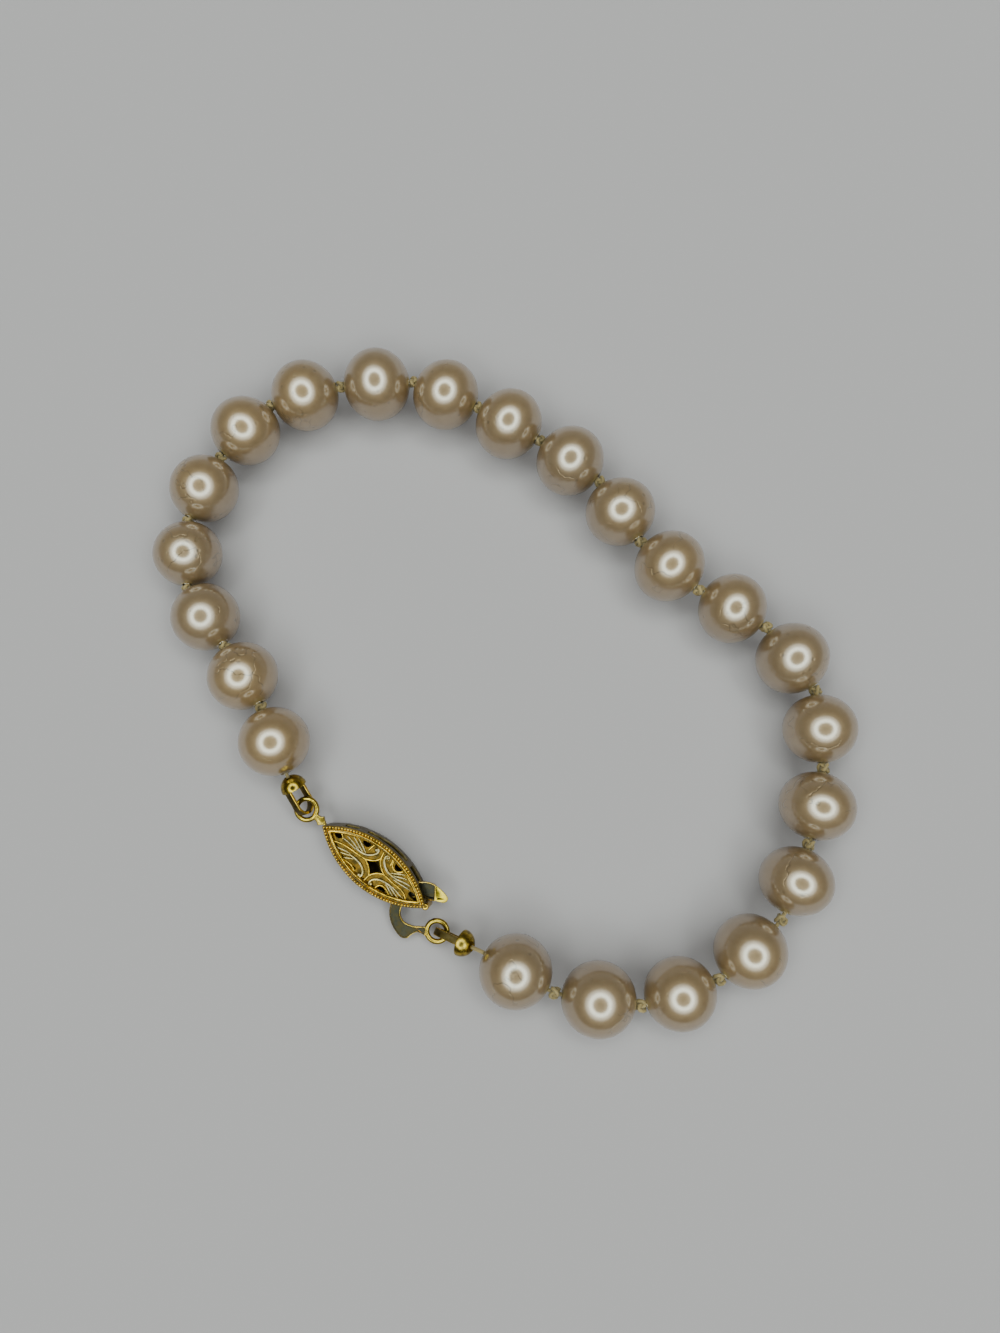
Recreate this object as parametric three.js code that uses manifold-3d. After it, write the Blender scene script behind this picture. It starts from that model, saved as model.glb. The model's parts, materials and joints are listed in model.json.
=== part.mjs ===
// A knotted pearl bracelet with a pierced box clasp, closed and lying on a flat surface.
// Millimetres, +Z up. The origin is on that surface, under the middle of the loop.

import * as THREE from 'three';
import { mergeVertices } from 'three/addons/utils/BufferGeometryUtils.js';
import Module from 'manifold-3d';

const wasm = await Module();
wasm.setup();

// ---------------------------------------------------------------- driving dimensions

// The string, from the clasp's ring eye round to its hook. It starts at the outer face of the
// first pearl. Each row is one pearl and the knot after it: across is the pearl's diameter
// square to its drill hole, gap is the room that the knot has, and x, y is the knot's place.
// The last row ends at the outer face of the last pearl.
const STRING_START = { x: -19.2, y: -9.2 };
const STRING = [
  { across: 6.5, gap: 0.6, x: -21.7, y: -3.1 },
  { across: 6.5, gap: 0.5, x: -25.4, y: 2.6 },
  { across: 6.35, gap: 0.5, x: -29.3, y: 8.2 },
  { across: 6.4, gap: 0.5, x: -29.6, y: 14.9 },
  { across: 6.5, gap: 0.55, x: -26.8, y: 21.3 },
  { across: 6.75, gap: 0.55, x: -22.3, y: 26.7 },
  { across: 6.85, gap: 0.65, x: -15.5, y: 28.7 },
  { across: 7.0, gap: 0.65, x: -8.4, y: 29.2 },
  { across: 6.8, gap: 0.55, x: -2.0, y: 26.5 },
  { across: 6.9, gap: 0.65, x: 4.0, y: 23.0 },
  { across: 6.8, gap: 0.75, x: 9.8, y: 18.9 },
  { across: 6.75, gap: 0.75, x: 13.4, y: 12.7 },
  { across: 6.95, gap: 0.8, x: 18.8, y: 8.0 },
  { across: 6.65, gap: 0.95, x: 25.0, y: 4.5 },
  { across: 6.85, gap: 0.85, x: 29.3, y: -1.5 },
  { across: 6.7, gap: 0.9, x: 29.5, y: -8.7 },
  { across: 6.85, gap: 0.9, x: 27.7, y: -15.5 },
  { across: 6.65, gap: 1.4, x: 24.9, y: -22.1 },
  { across: 6.5, gap: 1.0, x: 19.2, y: -27.1 },
  { across: 6.35, gap: 0.85, x: 12.3, y: -29.3 },
  { across: 6.55, gap: 1.2, x: 4.8, y: -28.2 },
  { across: 6.5, gap: 0, x: -1.3, y: -24.8 },
];

const BORE_RADIUS = 0.45;
const PEARL_SEGMENTS = 14;
const PEARL_ROWS = 8;

const SILK_RADIUS = 0.2;
const SILK_SIDES = 8;
const KNOT_RADIUS = 0.6;
const KNOT_NECK_RADIUS = 0.3;
const END_KNOT_RADIUS = 0.6;

// The clasp's own frame has u along the pointed oval, towards its open end, v across it and w
// up through its top. The whole clasp is rolled about u, so that it rests on one lower edge.
const CLASP_HEADING = THREE.MathUtils.degToRad(-37.4);
const CLASP_ROLL = THREE.MathUtils.degToRad(13);
const CLASP_CENTRE = new THREE.Vector3(-11, -17.25, 1.73);

const BOX = { length: 11.8, width: 4.45, height: 2.5, wall: 0.45, floor: 0.45, top: 0.5 };
const TOP_RECESS = { margin: 0.55, depth: 0.2 };
const SIDE_SLOT_HEIGHT = 0.9;
const SIDE_SLOTS = [
  { from: -4.4, to: -3.2 },
  { from: -2.4, to: 2.0 },
];
const HOOK_SLOT = { from: 2.6, height: 1.05 };
const POST = { u: 5.8, radius: 0.3 };
const BOX_RING = { u: -8.15, radius: 0.96, wire: 0.24 };
const NECK = { u: -6.5, halfLength: 0.8, halfWidth: 0.42, thickness: 0.5 };

// Openings in the top, in the clasp's u, v: one four-pointed hole in the middle, a round hole
// beside each volute, and one hole near each point.
const STAR_HOLE = { u: 0.9, v: 0.7, waist: 0.3 };
const VOLUTE_HOLE = { u: 1.75, v: 1.15, radius: 0.36 };
const POINT_HOLE = { u: 4.3, radius: 0.38 };

const HOOK_THICKNESS = 0.44;
const HOOK_RING = { u: 7.9, v: -1.3, outer: 1.17, inner: 0.68 };
const TAB_LIFT = THREE.MathUtils.degToRad(16);

const CUP = { radius: 1.2, depth: 1.25, wall: 0.22, hole: 0.36 };
const LOOP = { halfWidth: 1.1, thickness: 0.28, band: 0.7, end: 3.95 };
const BEAD_TIP_1 = { pastRing: 0.4, roll: THREE.MathUtils.degToRad(-52) };
const BEAD_TIP_2 = { pastRing: 0.15, roll: THREE.MathUtils.degToRad(90) };

// ---------------------------------------------------------------- materials

const NACRE = new THREE.MeshStandardMaterial({ color: 0xd9cab4, roughness: 0.25, metalness: 0 });
const SILK = new THREE.MeshStandardMaterial({ color: 0xa5834c, roughness: 0.9, metalness: 0 });
const GILT = new THREE.MeshStandardMaterial({ color: 0xb8923e, roughness: 0.35, metalness: 1 });
const WORN_GILT = new THREE.MeshStandardMaterial({ color: 0x8d7c58, roughness: 0.4, metalness: 1 });

// ---------------------------------------------------------------- joining and cutting

function toSolid(geometry) {
  const bare = geometry.index ? geometry.clone() : geometry;
  bare.deleteAttribute('normal');
  bare.deleteAttribute('uv');
  const merged = mergeVertices(bare, 1e-5);
  return new wasm.Manifold(new wasm.Mesh({
    numProp: 3,
    vertProperties: new Float32Array(merged.attributes.position.array),
    triVerts: new Uint32Array(merged.index.array),
  }));
}

function toGeometry(solid) {
  const { vertProperties, triVerts } = solid.getMesh();
  const geometry = new THREE.BufferGeometry();
  geometry.setAttribute('position', new THREE.BufferAttribute(new Float32Array(vertProperties), 3));
  geometry.setIndex(new THREE.BufferAttribute(new Uint32Array(triVerts), 1));
  return geometry;
}

function makeMesh(name, geometry, material) {
  const mesh = new THREE.Mesh(geometry, material.clone());
  mesh.name = name;
  return mesh;
}

// An outline extruded by thickness, with its middle layer at height w.
function slab(outline, thickness, w = 0, curveSegments = 6) {
  const geometry = new THREE.ExtrudeGeometry(outline, {
    depth: thickness,
    bevelEnabled: false,
    curveSegments,
  });
  return geometry.translate(0, 0, w - thickness / 2);
}

// ---------------------------------------------------------------- the string

// Every knot's place, and before and after them the two outer faces. A knot is as high as the
// centres of the pearls beside it, on average.
function stringTurns() {
  const radii = STRING.map((pearl) => pearl.across / 2);
  const turns = [new THREE.Vector3(STRING_START.x, STRING_START.y, radii[0])];
  STRING.forEach((pearl, i) => {
    const next = radii[i + 1] ?? radii[i];
    turns.push(new THREE.Vector3(pearl.x, pearl.y, (radii[i] + next) / 2));
  });
  return turns;
}

const TURNS = stringTurns();

// A pearl sits on the straight stretch between two knots, leaves each of them its room, and
// rests on the surface.
function pearlPlace(i) {
  const axis = TURNS[i + 1].clone().sub(TURNS[i]);
  const roomBefore = i === 0 ? 0 : STRING[i - 1].gap / 2;
  const roomAfter = STRING[i].gap / 2;
  const along = axis.length() - roomBefore - roomAfter;
  axis.normalize();
  const centre = TURNS[i].clone().addScaledVector(axis, roomBefore + along / 2);
  centre.z = STRING[i].across / 2;
  return { axis, along, centre, across: STRING[i].across };
}

// A drilled, slightly flattened ball, turned about its own drill hole.
function pearlGeometry(across, along) {
  const radius = across / 2;
  const mouth = Math.asin(BORE_RADIUS / radius);
  const profile = [];
  for (let row = 0; row <= PEARL_ROWS; row += 1) {
    const angle = mouth + (Math.PI - 2 * mouth) * (row / PEARL_ROWS);
    profile.push(new THREE.Vector2(radius * Math.sin(angle), -along / 2 * Math.cos(angle)));
  }
  profile.push(profile[0].clone());
  return new THREE.LatheGeometry(profile, PEARL_SEGMENTS);
}

// Turns +Y to axis and keeps +Z as near to up as it can be, so that a vertex is lowest.
function levelTurn(axis) {
  const side = axis.clone().cross(new THREE.Vector3(0, 0, 1)).normalize();
  const up = side.clone().cross(axis);
  return new THREE.Quaternion().setFromRotationMatrix(new THREE.Matrix4().makeBasis(side, axis, up));
}

function addPearls(group) {
  STRING.forEach((row, i) => {
    const { axis, along, centre, across } = pearlPlace(i);
    const name = `pearl_${String(i + 1).padStart(2, '0')}`;
    const mesh = makeMesh(name, pearlGeometry(across, along), NACRE);
    mesh.position.copy(centre);
    mesh.quaternion.copy(levelTurn(axis));
    group.add(mesh);
  });
}

// A closed body of round sections: each station has a point, a direction and a radius.
function roundSections(stations, sides) {
  const up = new THREE.Vector3(0, 0, 1);
  const positions = [];
  const index = [];
  stations.forEach(({ point, direction, radius }) => {
    const side = direction.clone().cross(up).normalize();
    const over = side.clone().cross(direction);
    for (let k = 0; k < sides; k += 1) {
      const angle = (2 * Math.PI * k) / sides;
      const spot = point.clone();
      spot.addScaledVector(side, radius * Math.cos(angle));
      spot.addScaledVector(over, radius * Math.sin(angle));
      positions.push(...spot.toArray());
    }
  });
  for (let s = 0; s + 1 < stations.length; s += 1) {
    for (let k = 0; k < sides; k += 1) {
      const a = s * sides + k;
      const b = s * sides + ((k + 1) % sides);
      index.push(a, a + sides, b, b, a + sides, b + sides);
    }
  }
  const last = (stations.length - 1) * sides;
  for (let k = 1; k + 1 < sides; k += 1) {
    index.push(0, k, k + 1);
    index.push(last, last + k + 1, last + k);
  }
  const geometry = new THREE.BufferGeometry();
  geometry.setAttribute('position', new THREE.Float32BufferAttribute(positions, 3));
  geometry.setIndex(index);
  return geometry;
}

// A knot's sections as shares of its room, with their radii.
const KNOT_SECTIONS = [
  { share: -0.32, radius: KNOT_NECK_RADIUS },
  { share: -0.12, radius: KNOT_RADIUS },
  { share: 0.12, radius: KNOT_RADIUS },
  { share: 0.32, radius: KNOT_NECK_RADIUS },
];

// A ball-shaped end knot, from the side where the silk comes in.
function endKnotStations(centre, direction, flip) {
  const sections = [
    { along: -0.6, radius: SILK_RADIUS },
    { along: -0.45, radius: 0.35 },
    { along: -0.2, radius: END_KNOT_RADIUS },
    { along: 0.15, radius: END_KNOT_RADIUS },
    { along: 0.45, radius: 0.3 },
  ];
  const stations = sections.map(({ along, radius }) => ({
    point: centre.clone().addScaledVector(direction, along),
    direction: flip ? direction.clone().negate() : direction,
    radius,
  }));
  return flip ? stations.reverse() : stations;
}

// One length of silk: straight through each drill hole, turning only at the knots, and tied
// off inside the two cups.
function silkStations(tipOne, tipTwo) {
  const stations = endKnotStations(tipOne.knot, tipOne.towards, true);
  STRING.forEach((row, i) => {
    const { axis, along, centre } = pearlPlace(i);
    [-along / 2, along / 2].forEach((offset) => {
      const point = centre.clone().addScaledVector(axis, offset);
      stations.push({ point, direction: axis, radius: SILK_RADIUS });
    });
    if (i + 1 < STRING.length) {
      const direction = axis.clone().add(pearlPlace(i + 1).axis).normalize();
      KNOT_SECTIONS.forEach(({ share, radius }) => {
        const point = TURNS[i + 1].clone().addScaledVector(direction, share * row.gap);
        stations.push({ point, direction, radius });
      });
    }
  });
  return stations.concat(endKnotStations(tipTwo.knot, tipTwo.towards, false));
}

// ---------------------------------------------------------------- the clasp's box

// A pointed oval of two equal arcs, its points on the u axis.
function pointedOval(length, width) {
  const arcRadius = (length * length + width * width) / (4 * width);
  const drop = arcRadius - width / 2;
  const reach = Math.asin(length / 2 / arcRadius);
  const upper = Math.PI / 2;
  const outline = new THREE.Shape();
  outline.absarc(0, -drop, arcRadius, upper - reach, upper + reach, false);
  outline.absarc(0, drop, arcRadius, -upper - reach, -upper + reach, false);
  return outline;
}

function starOutline({ u, v, waist }) {
  const outline = new THREE.Shape();
  outline.moveTo(u, 0);
  outline.quadraticCurveTo(waist, waist, 0, v);
  outline.quadraticCurveTo(-waist, waist, -u, 0);
  outline.quadraticCurveTo(-waist, -waist, 0, -v);
  outline.quadraticCurveTo(waist, -waist, u, 0);
  return outline;
}

function disc(u, v, radius) {
  const outline = new THREE.Shape();
  outline.absarc(u, v, radius, 0, 2 * Math.PI, false);
  return outline;
}

function topPiercings() {
  const cutters = [starOutline(STAR_HOLE)];
  [-1, 1].forEach((sideU) => {
    cutters.push(disc(sideU * POINT_HOLE.u, 0, POINT_HOLE.radius));
    [-1, 1].forEach((sideV) => {
      cutters.push(disc(sideU * VOLUTE_HOLE.u, sideV * VOLUTE_HOLE.v, VOLUTE_HOLE.radius));
    });
  });
  return cutters;
}

function claspBoxGeometry() {
  const { length, width, height, wall, floor, top } = BOX;
  const inner = 2 * wall;
  const cavityHeight = height - floor - top;
  const cavityMiddle = (floor - top) / 2;
  // The side wall keeps its thickness towards the points, so the cavity loses more in length.
  const cavityLength = length - inner * 2.6;
  const rimLength = length - TOP_RECESS.margin * 2 * 2.4;

  let box = toSolid(slab(pointedOval(length, width), height, 0, 14));
  box = box.subtract(toSolid(slab(pointedOval(cavityLength, width - inner), cavityHeight, cavityMiddle, 10)));

  const recess = pointedOval(rimLength, width - TOP_RECESS.margin * 2);
  box = box.subtract(toSolid(slab(recess, TOP_RECESS.depth * 2, height / 2, 10)));
  topPiercings().forEach((outline) => {
    box = box.subtract(toSolid(slab(outline, top * 2, height / 2 - top / 2, 3)));
  });

  SIDE_SLOTS.forEach(({ from, to }) => {
    const cutter = new THREE.BoxGeometry(to - from, width * 2, SIDE_SLOT_HEIGHT);
    box = box.subtract(toSolid(cutter.translate((from + to) / 2, 0, 0)));
  });
  const hookSlotLength = length - HOOK_SLOT.from;
  const hookSlot = new THREE.BoxGeometry(hookSlotLength, width * 2, HOOK_SLOT.height);
  box = box.subtract(toSolid(hookSlot.translate(HOOK_SLOT.from + hookSlotLength / 2, 0, 0)));

  const post = new THREE.CylinderGeometry(POST.radius, POST.radius, height - floor, 8);
  box = box.add(toSolid(post.rotateX(Math.PI / 2).translate(POST.u, 0, 0)));

  const ring = new THREE.TorusGeometry(BOX_RING.radius, BOX_RING.wire, 8, 20);
  box = box.add(toSolid(ring.translate(BOX_RING.u, 0, 0)));
  const neckOutline = starOutline({ u: NECK.halfLength, v: NECK.halfWidth, waist: 0.22 });
  box = box.add(toSolid(slab(neckOutline, NECK.thickness, 0, 3).translate(NECK.u, 0, 0)));
  return toGeometry(box);
}

// ---------------------------------------------------------------- the clasp's hook

// A flat sheet hook: it enters the box's lower side, passes round behind the post and comes
// out of the upper side as the thumb tab.
function hookOutline() {
  const outline = new THREE.Shape();
  outline.moveTo(7.35, -2.25);
  outline.quadraticCurveTo(6.8, -2.3, 6.55, -2.45);
  outline.quadraticCurveTo(6.25, -2.8, 6.2, -3.35);
  outline.quadraticCurveTo(5.9, -3.85, 5.3, -3.7);
  outline.quadraticCurveTo(4.0, -3.4, 3.4, -2.5);
  outline.quadraticCurveTo(2.8, -1.5, 2.9, -0.4);
  outline.quadraticCurveTo(3.1, 0.8, 4.2, 1.35);
  outline.quadraticCurveTo(4.7, 1.85, 5.4, 1.9);
  outline.lineTo(6.2, 0.8);
  outline.quadraticCurveTo(5.9, 0.55, 5.5, 0.45);
  outline.quadraticCurveTo(4.2, 0.35, 4.05, -1.2);
  outline.quadraticCurveTo(4.1, -2.4, 5.1, -2.5);
  outline.quadraticCurveTo(5.9, -2.4, 6.35, -1.98);
  outline.lineTo(6.9, -1.6);
  outline.closePath();
  return outline;
}

// The tab's end, turned up a little for the thumb. Its root lies on the line where the flat
// sheet stops.
function tabOutline() {
  const outline = new THREE.Shape();
  outline.moveTo(5.33, 1.89);
  outline.quadraticCurveTo(6.3, 1.9, 6.9, 1.65);
  outline.quadraticCurveTo(7.15, 1.35, 6.9, 1.1);
  outline.quadraticCurveTo(6.5, 0.85, 6.12, 0.78);
  outline.closePath();
  return outline;
}

function claspHookGeometry() {
  const ringBand = disc(HOOK_RING.u, HOOK_RING.v, HOOK_RING.outer);
  ringBand.holes.push(disc(HOOK_RING.u, HOOK_RING.v, HOOK_RING.inner));
  let hook = toSolid(slab(hookOutline(), HOOK_THICKNESS, 0, 4));
  hook = hook.add(toSolid(slab(ringBand, HOOK_THICKNESS, 0, 10)));

  const root = new THREE.Vector3(5.4, 1.9, 0);
  const rootAxis = new THREE.Vector3(0.8, -1.1, 0).normalize();
  const lift = new THREE.Matrix4().makeTranslation(root)
    .multiply(new THREE.Matrix4().makeRotationAxis(rootAxis, -TAB_LIFT))
    .multiply(new THREE.Matrix4().makeTranslation(root.clone().negate()));
  const tab = slab(tabOutline(), HOOK_THICKNESS, 0, 4).applyMatrix4(lift);
  return toGeometry(hook.add(toSolid(tab)));
}

function claspGroup() {
  const group = new THREE.Group();
  group.position.copy(CLASP_CENTRE);
  group.rotation.set(CLASP_ROLL, 0, CLASP_HEADING, 'ZYX');
  group.add(makeMesh('clasp_box', claspBoxGeometry(), GILT));
  group.add(makeMesh('clasp_hook', claspHookGeometry(), WORN_GILT));
  group.updateMatrixWorld(true);
  return group;
}

// ---------------------------------------------------------------- the bead tips

// A small cup with a hole for the silk, and a flat band that loops from its rim through a ring
// eye and back. +Y points from the cup to the ring.
function beadTipGeometry() {
  const { radius, depth, wall, hole } = CUP;
  const steps = 4;
  const profile = [];
  [radius, radius - wall].forEach((shell, layer) => {
    const start = Math.asin(hole / shell);
    for (let k = 0; k <= steps; k += 1) {
      const share = layer === 0 ? k / steps : 1 - k / steps;
      const angle = start + (Math.PI / 2 - start) * share;
      profile.push(new THREE.Vector2(shell * Math.sin(angle), radius - shell * Math.cos(angle)));
    }
    if (layer === 0) {
      profile.push(new THREE.Vector2(radius, depth));
      profile.push(new THREE.Vector2(radius - wall, depth));
    }
  });
  profile.push(profile[0].clone());
  let tip = toSolid(new THREE.LatheGeometry(profile, 16));

  const { halfWidth, thickness, band, end } = LOOP;
  const inside = halfWidth - thickness;
  const bend = end - halfWidth;
  const root = depth - 0.3;
  const outline = new THREE.Shape();
  outline.moveTo(halfWidth, root);
  outline.absarc(0, bend, halfWidth, 0, Math.PI, false);
  outline.lineTo(-halfWidth, root);
  outline.lineTo(-inside, root);
  outline.absarc(0, bend, inside, Math.PI, 0, true);
  outline.lineTo(inside, root);
  outline.closePath();
  tip = tip.add(toSolid(slab(outline, band, 0, 8)));
  return toGeometry(tip);
}

// The tip's place: its loop ends pastRing beyond the ring eye's centre, on the straight line
// from the string's end, and roll turns it about that line.
function beadTipPlace(stringEnd, ringCentre, { pastRing, roll }) {
  const towards = ringCentre.clone().sub(stringEnd).normalize();
  const pole = ringCentre.clone().addScaledVector(towards, pastRing - LOOP.end);
  const turn = levelTurn(towards);
  turn.multiply(new THREE.Quaternion().setFromAxisAngle(new THREE.Vector3(0, 1, 0), roll));
  const knot = pole.clone().addScaledVector(towards, CUP.radius - 0.25);
  return { towards, pole, turn, knot };
}

function beadTipMesh(name, place) {
  const mesh = makeMesh(name, beadTipGeometry(), GILT);
  mesh.position.copy(place.pole);
  mesh.quaternion.copy(place.turn);
  return mesh;
}

// ---------------------------------------------------------------- the whole bracelet

function buildBracelet() {
  const bracelet = new THREE.Group();
  const clasp = claspGroup();
  const boxRing = new THREE.Vector3(BOX_RING.u, 0, 0).applyMatrix4(clasp.matrixWorld);
  const hookRing = new THREE.Vector3(HOOK_RING.u, HOOK_RING.v, 0).applyMatrix4(clasp.matrixWorld);
  const tipOne = beadTipPlace(TURNS[0], boxRing, BEAD_TIP_1);
  const tipTwo = beadTipPlace(TURNS[STRING.length], hookRing, BEAD_TIP_2);

  addPearls(bracelet);
  bracelet.add(makeMesh('silk_thread', roundSections(silkStations(tipOne, tipTwo), SILK_SIDES), SILK));
  bracelet.add(beadTipMesh('bead_tip_1', tipOne));
  bracelet.add(beadTipMesh('bead_tip_2', tipTwo));
  bracelet.add(clasp);

  const bounds = new THREE.Box3().setFromObject(bracelet, true);
  const middle = bounds.getCenter(new THREE.Vector3());
  bracelet.position.set(-middle.x, -middle.y, -bounds.min.z);
  bracelet.updateMatrixWorld(true);
  return bracelet;
}

export default buildBracelet();
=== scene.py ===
# %% [markdown]
# # A knotted pearl bracelet with a filigree clasp
#
# Twenty-two cream pearls are strung on one length of silk, with a knot between each two of them,
# and closed with a small pierced box clasp in antique gold plate. The measured model gives every
# piece's place. This lesson gives the pieces their look: lustrous nacre, twisted silk, and
# gilded metal with beading, scrolls and worn edges.

# %% Load the measured model
import json
import math
import random

import bpy
import numpy as np
from mathutils import Matrix, Quaternion, Vector


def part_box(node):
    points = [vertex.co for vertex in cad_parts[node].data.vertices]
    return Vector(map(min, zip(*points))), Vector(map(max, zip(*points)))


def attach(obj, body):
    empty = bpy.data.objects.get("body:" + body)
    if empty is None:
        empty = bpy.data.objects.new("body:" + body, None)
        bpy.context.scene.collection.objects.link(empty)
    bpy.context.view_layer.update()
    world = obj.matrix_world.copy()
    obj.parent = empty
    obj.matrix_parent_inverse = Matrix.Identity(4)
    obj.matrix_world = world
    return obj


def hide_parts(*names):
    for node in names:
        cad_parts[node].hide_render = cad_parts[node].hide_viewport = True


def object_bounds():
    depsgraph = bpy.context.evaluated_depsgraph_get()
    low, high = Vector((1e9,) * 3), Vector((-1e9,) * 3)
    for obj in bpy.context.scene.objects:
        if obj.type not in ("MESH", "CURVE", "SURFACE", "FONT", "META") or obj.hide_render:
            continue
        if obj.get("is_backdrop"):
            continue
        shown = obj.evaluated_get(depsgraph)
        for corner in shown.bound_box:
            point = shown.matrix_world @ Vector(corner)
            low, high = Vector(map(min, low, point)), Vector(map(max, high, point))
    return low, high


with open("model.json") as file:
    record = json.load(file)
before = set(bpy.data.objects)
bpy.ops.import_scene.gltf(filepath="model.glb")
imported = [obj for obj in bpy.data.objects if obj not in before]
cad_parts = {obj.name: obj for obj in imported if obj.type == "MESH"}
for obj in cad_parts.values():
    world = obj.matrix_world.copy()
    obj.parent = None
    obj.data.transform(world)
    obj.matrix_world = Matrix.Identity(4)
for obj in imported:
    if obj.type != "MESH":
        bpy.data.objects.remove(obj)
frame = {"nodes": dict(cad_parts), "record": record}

cad_low, cad_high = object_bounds()
print("pieces in the model:", len(frame["nodes"]))

# %% [markdown]
# ## Camera
#
# The bracelet lies on a table and is seen from almost straight above, with a wide lens held
# close, as a phone is held over a small object. A longer lens would flatten the pearls and hide
# their sides. The camera is placed first, so that every later step can be looked at.

# %% Camera
MM = 0.001
CAMERA_PLACE = Vector((-0.54, -18.76, 93.61)) * MM
CAMERA_AIM = Vector((0.07, 0.46, 3.35)) * MM
LENS_MM = 27

bpy.ops.object.select_all(action="DESELECT")
back = (CAMERA_PLACE - CAMERA_AIM).normalized()
right = Vector((0, 1, 0)).cross(back).normalized()
over = back.cross(right)
turned = Matrix((right, over, back)).transposed().to_euler()
bpy.ops.object.camera_add(location=CAMERA_PLACE, rotation=turned)
camera = bpy.context.object
camera.name = "camera"
camera.data.lens = LENS_MM
camera.data.clip_start = 1 * MM
bpy.context.scene.camera = camera
print("camera height, mm:", round(CAMERA_PLACE.z / MM, 1))

# %% [markdown]
# ## Table and light
#
# A pearl is a curved mirror with a soft skin, so what it shows is mostly the room. The light here
# is one big round softbox overhead with an unlit middle, which each pearl shows as a bright soft
# ring. Beside it the room is dim, which makes the warm dark band round the ring, and it brightens
# a little towards the table, so that the band fades out softly into the pale reflection of the
# table. Lamps could do this, but a sky that changes with direction only gives the same soft light
# everywhere and no noise.

# %% Table
FLOOR_HALF_SIZE = 1500 * MM

bpy.ops.mesh.primitive_plane_add(size=2 * FLOOR_HALF_SIZE)
floor = bpy.context.object
floor.name = "table"
floor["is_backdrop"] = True

table_finish = bpy.data.materials.new("table_finish")
table_finish.use_nodes = True
table_shader = table_finish.node_tree.nodes["Principled BSDF"]
table_shader.inputs["Base Color"].default_value = (0.345, 0.315, 0.34, 1)
table_shader.inputs["Roughness"].default_value = 0.9
floor.data.materials.append(table_finish)
print("table:", floor.dimensions[:])

# %% Softbox and dim room
LIGHT_AXIS = back
SKY_STEPS = [
    (-1.0, (1.0, 0.95, 0.84), 0.30),
    (-0.10, (1.0, 0.95, 0.84), 0.30),
    (0.35, (1.0, 0.93, 0.84), 0.09),
    (0.64, (1.0, 0.95, 0.86), 0.09),
    (0.78, (0.94, 1.0, 0.92), 2.4),
    (0.86, (0.88, 1.0, 0.91), 7.2),
    (0.89, (0.88, 1.0, 0.91), 7.2),
    (0.95, (0.94, 1.0, 0.94), 0.20),
    (1.0, (0.94, 1.0, 0.94), 0.10),
]
SKY_TOP = 7.2

sky = bpy.data.worlds.new("studio")
sky.use_nodes = True
bpy.context.scene.world = sky
sky_nodes = sky.node_tree.nodes
sky_links = sky.node_tree.links
background = sky_nodes["Background"]
where = sky_nodes.new("ShaderNodeTexCoord")
turn = sky_nodes.new("ShaderNodeVectorMath")
turn.operation = "DOT_PRODUCT"
turn.inputs[1].default_value = LIGHT_AXIS
spread = sky_nodes.new("ShaderNodeMapRange")
spread.inputs["From Min"].default_value = -1
ramp = sky_nodes.new("ShaderNodeValToRGB")
ramp.color_ramp.interpolation = "EASE"
sky_links.new(where.outputs["Generated"], turn.inputs[0])
sky_links.new(turn.outputs["Value"], spread.inputs["Value"])
sky_links.new(spread.outputs["Result"], ramp.inputs["Fac"])
sky_links.new(ramp.outputs["Color"], background.inputs["Color"])
background.inputs["Strength"].default_value = SKY_TOP
stops = ramp.color_ramp.elements
while len(stops) < len(SKY_STEPS):
    stops.new(0.5)
for stop, (height, tint, level) in zip(stops, SKY_STEPS):
    stop.position = (height + 1) / 2
    stop.color = [channel * level / SKY_TOP for channel in tint] + [1]
print("sky steps:", len(stops))

# %% [markdown]
# ## The workbench
#
# Everything on a bracelet is a few millimetres long. It could be modelled at its true size, but
# by default merging points joins those that lie closer than a tenth of a millimetre, so each
# piece is modelled large, with one unit for a millimetre, then put in its place and scaled to
# metres at the very end. Small helpers pick faces or edges by where they are, as the hand would
# with the mouse.

# %% Helpers for picking and placing
def object_mode():
    if bpy.context.object and bpy.context.object.mode != "OBJECT":
        bpy.ops.object.mode_set(mode="OBJECT")


def choose(*pieces):
    object_mode()
    bpy.ops.object.select_all(action="DESELECT")
    for piece in pieces:
        piece.select_set(True)
    bpy.context.view_layer.objects.active = pieces[0]


def named(name):
    piece = bpy.context.object
    piece.name = name
    piece.data.name = name
    return piece


def pick(piece, faces=None, edges=None):
    """Leaves piece in edit mode with only the faces or edges that pass the test."""
    choose(piece)
    mesh = piece.data
    for part in (mesh.polygons, mesh.edges, mesh.vertices):
        part.foreach_set("select", [False] * len(part))
    if faces:
        mode = "FACE"
        mesh.polygons.foreach_set("select", [bool(faces(f)) for f in mesh.polygons])
    else:
        mode = "EDGE"
        ends = [(mesh.vertices[a].co, mesh.vertices[b].co) for a, b in mesh.edge_keys]
        chosen = [bool(edges(a, b)) for a, b in ends]
        order = {key: i for i, key in enumerate(mesh.edge_keys)}
        mesh.edges.foreach_set("select", [chosen[order[e.key]] for e in mesh.edges])
    bpy.ops.object.mode_set(mode="EDIT")
    bpy.ops.mesh.select_mode(type=mode)


def pick_all(piece):
    """Picks everything by its edges, so that an outline without faces can be extruded too."""
    choose(piece)
    bpy.ops.object.mode_set(mode="EDIT")
    bpy.ops.mesh.select_mode(type="EDGE")
    bpy.ops.mesh.select_all(action="SELECT")


def finish_with(piece, kind, **settings):
    """Adds one modifier and applies it."""
    choose(piece)
    modifier = piece.modifiers.new(kind.lower(), kind)
    for key, value in settings.items():
        setattr(modifier, key, value)
    bpy.ops.object.modifier_apply(modifier=modifier.name)
    return piece


def join(pieces, name):
    choose(*pieces)
    bpy.ops.object.join()
    return named(name)


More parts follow.
